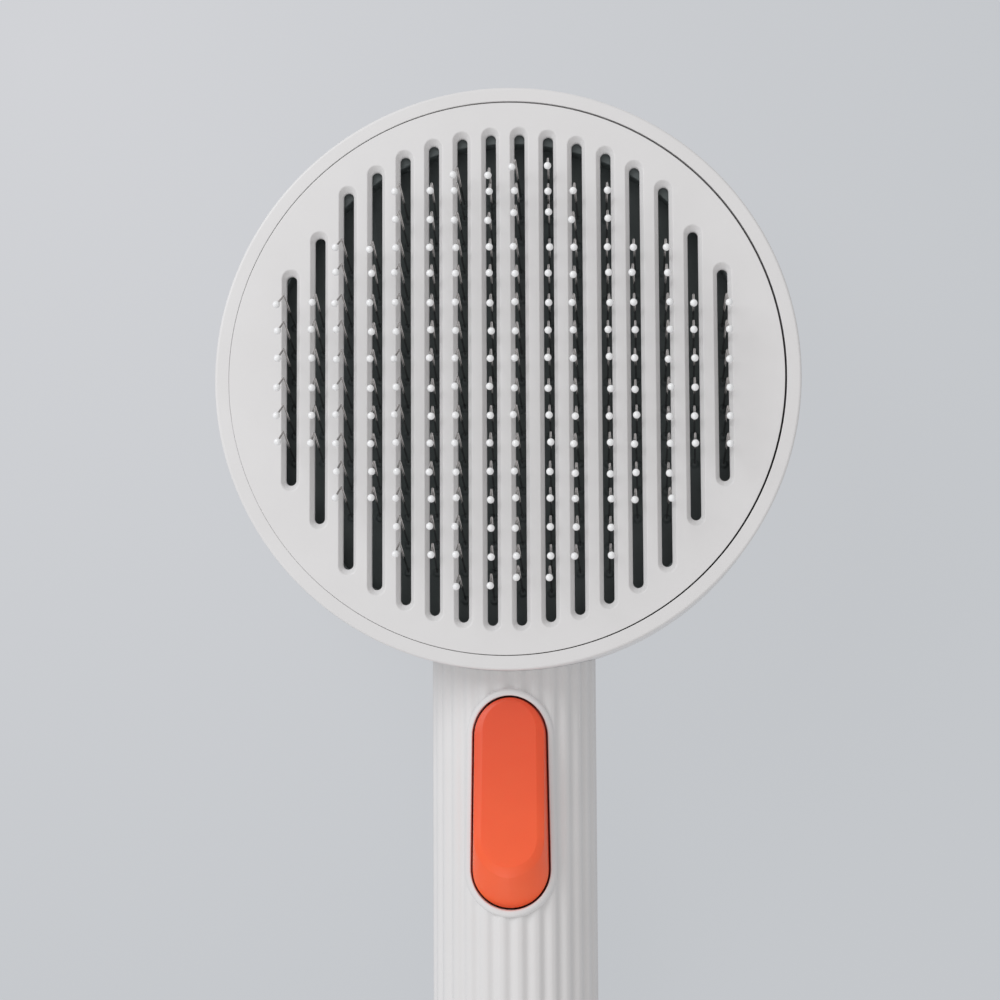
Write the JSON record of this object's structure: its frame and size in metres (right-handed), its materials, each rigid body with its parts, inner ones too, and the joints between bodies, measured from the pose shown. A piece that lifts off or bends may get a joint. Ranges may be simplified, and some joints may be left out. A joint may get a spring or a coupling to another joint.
{
  "type": "deshedding tool",
  "caption": "Round-headed slicker brush whose slotted face plate lifts towards the bent pins when the button in its fluted handle is pressed, to push the hair off.",
  "frame": {"origin": "bottom centre of the bounding box, under the middle of the brush lying on its back", "axes": "+Z the way the pins point, +Y from the handle to the tip of the head, +X across to the right of the pin side"},
  "size_m": [0.1018, 0.205, 0.0439],
  "materials": {
    "white_abs": "warm white ABS, fine satin texture",
    "slate_nylon": "dark slate nylon, matt",
    "orange_abs": "orange ABS, satin",
    "grey_acetal": "mid grey acetal, as moulded",
    "spring_steel": "drawn steel wire",
    "pin_stainless": "bright stainless wire with white epoxy balls on the tips",
    "zinc_plated_steel": "zinc plated"
  },
  "bodies": {
    "housing": {"front_housing": "white_abs", "rear_cover": "white_abs", "needle_base": "slate_nylon", "needle_backer": "slate_nylon", "handle_front_shell": "white_abs", "handle_rear_shell": "white_abs", "end_cap": "white_abs", "pivot_pin": "spring_steel", "pin_row_01": "pin_stainless", "pin_row_02": "pin_stainless", "pin_row_03": "pin_stainless", "pin_row_04": "pin_stainless", "pin_row_05": "pin_stainless", "pin_row_06": "pin_stainless", "pin_row_07": "pin_stainless", "pin_row_08": "pin_stainless", "pin_row_09": "pin_stainless", "pin_row_10": "pin_stainless", "pin_row_11": "pin_stainless", "pin_row_12": "pin_stainless", "pin_row_13": "pin_stainless", "pin_row_14": "pin_stainless", "pin_row_15": "pin_stainless", "pin_row_16": "pin_stainless", "return_spring_1": "spring_steel", "return_spring_2": "spring_steel", "return_spring_3": "spring_steel", "return_spring_4": "spring_steel", "base_screw_1": "zinc_plated_steel", "base_screw_2": "zinc_plated_steel", "base_screw_3": "zinc_plated_steel", "base_screw_4": "zinc_plated_steel", "backer_screw_1": "zinc_plated_steel", "backer_screw_2": "zinc_plated_steel", "backer_screw_3": "zinc_plated_steel", "backer_screw_4": "zinc_plated_steel", "case_screw_1": "zinc_plated_steel", "case_screw_2": "zinc_plated_steel", "case_screw_3": "zinc_plated_steel", "handle_screw_1": "zinc_plated_steel", "handle_screw_2": "zinc_plated_steel", "neck_screw": "zinc_plated_steel"},
    "lever": {"button": "orange_abs", "rocker_lever": "grey_acetal"},
    "plate": {"face_plate": "white_abs", "lift_frame": "grey_acetal", "post_screw_1": "zinc_plated_steel", "post_screw_2": "zinc_plated_steel", "post_screw_3": "zinc_plated_steel", "post_screw_4": "zinc_plated_steel"}
  },
  "joints": [
    {"name": "button_press", "type": "hinge", "parent": "housing", "child": "lever", "pos_m": [0, -0.00635, 0.02], "axis": [1, 0, 0], "range_deg": [0, 6.5], "stiffness_Nm_per_rad": 1.5, "springref_deg": -3.95},
    {"name": "plate_lift", "type": "slide", "parent": "housing", "child": "plate", "axis": [0, 0, 1], "range_m": [0, 0.0066], "deforming": ["return_spring_1", "return_spring_2", "return_spring_3", "return_spring_4"]}
  ],
  "couplings": [
    {"joint": "plate_lift", "follows": "button_press", "m_per_rad": 0.058}
  ]
}
